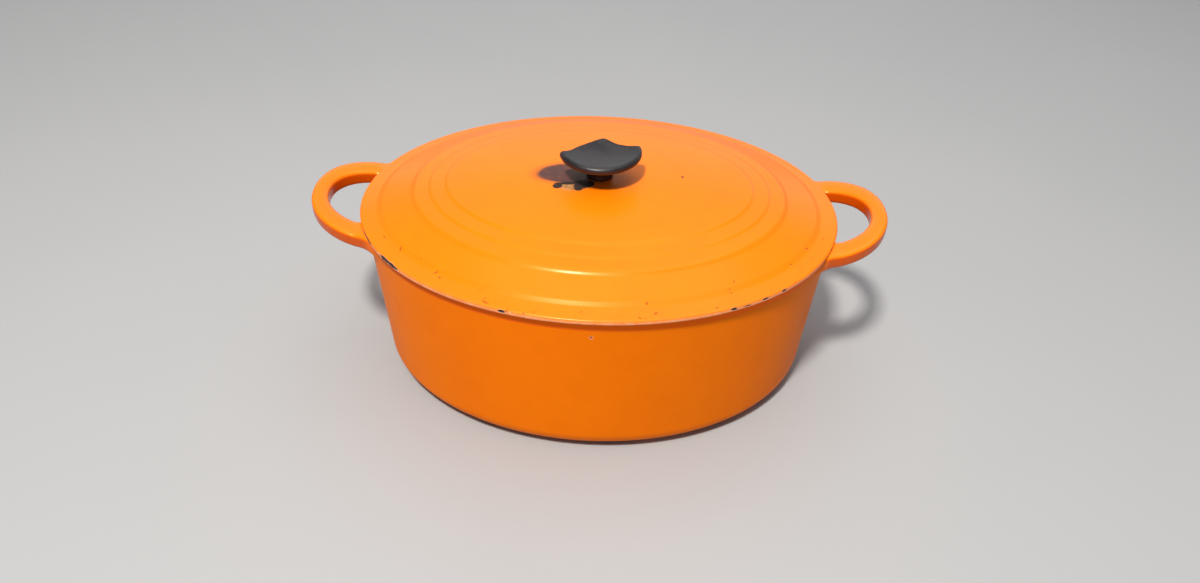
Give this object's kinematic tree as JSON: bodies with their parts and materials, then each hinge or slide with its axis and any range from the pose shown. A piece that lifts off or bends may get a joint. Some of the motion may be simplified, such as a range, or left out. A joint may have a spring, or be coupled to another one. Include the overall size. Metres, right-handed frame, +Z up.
{
  "type": "cast iron dutch oven",
  "caption": "Oval enamelled cast iron casserole with loop handles and a lift-off lid with a round knob, for slow cooking on a hob or in an oven.",
  "frame": {"origin": "centre of the base, on the surface it stands on", "axes": "+X towards the right-hand handle, +Y towards the back, +Z up"},
  "size_m": [0.386, 0.2492, 0.1616],
  "materials": {
    "orange_enamel": "glossy vitreous enamel over cast iron",
    "black_phenolic": "satin moulded phenolic",
    "brass": "turned",
    "steel": "zinc plated"
  },
  "bodies": {
    "pot": {"pot": "orange_enamel"},
    "lid": {"lid": "orange_enamel", "knob": "black_phenolic", "knob_insert": "brass", "knob_screw": "steel", "screw_washer": "steel"}
  },
  "joints": [
    {"name": "lid_lift", "type": "slide", "parent": "pot", "child": "lid", "axis": [0, 0, 1], "range_m": [0, 0.2]}
  ]
}
